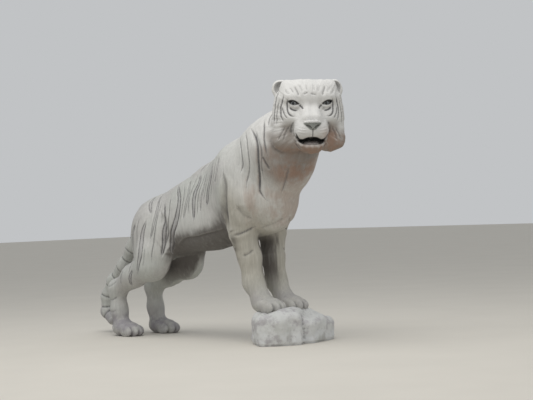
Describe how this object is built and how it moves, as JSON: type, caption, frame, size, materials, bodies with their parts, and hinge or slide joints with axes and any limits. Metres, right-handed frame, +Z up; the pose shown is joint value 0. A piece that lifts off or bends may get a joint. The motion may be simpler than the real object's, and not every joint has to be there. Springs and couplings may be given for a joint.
{
  "type": "tiger statue",
  "caption": "Larger-than-life cast stone tiger statue, standing with both forepaws on a low rock and its head turned to its right.",
  "frame": {"origin": "middle of the overall size, on the floor that the rock and the hind paws stand on", "axes": "+X the way the body faces, +Y to the tiger's left, +Z up"},
  "size_m": [3.221, 0.8152, 2.1709],
  "materials": {
    "stone_pale": "dry pale cast stone with carved lines",
    "stone_flank": "dry weathered cast stone with carved stripes",
    "stone_leg": "dry beige cast stone, stained",
    "stone_eye": "dark painted stone",
    "stone_rock": "rough blotched cast stone"
  },
  "bodies": {
    "root": {"head": "stone_pale", "ear_left": "stone_pale", "ear_right": "stone_pale", "eye_left": "stone_eye", "eye_right": "stone_eye", "neck": "stone_pale", "trunk": "stone_flank", "tail_root": "stone_flank", "tail_end": "stone_flank", "foreleg_left": "stone_leg", "foreleg_right": "stone_leg", "forepaw_left": "stone_leg", "forepaw_right": "stone_leg", "hindleg_left": "stone_flank", "hindleg_right": "stone_flank", "hindpaw_left": "stone_flank", "hindpaw_right": "stone_flank", "rock": "stone_rock"}
  },
  "joints": []
}
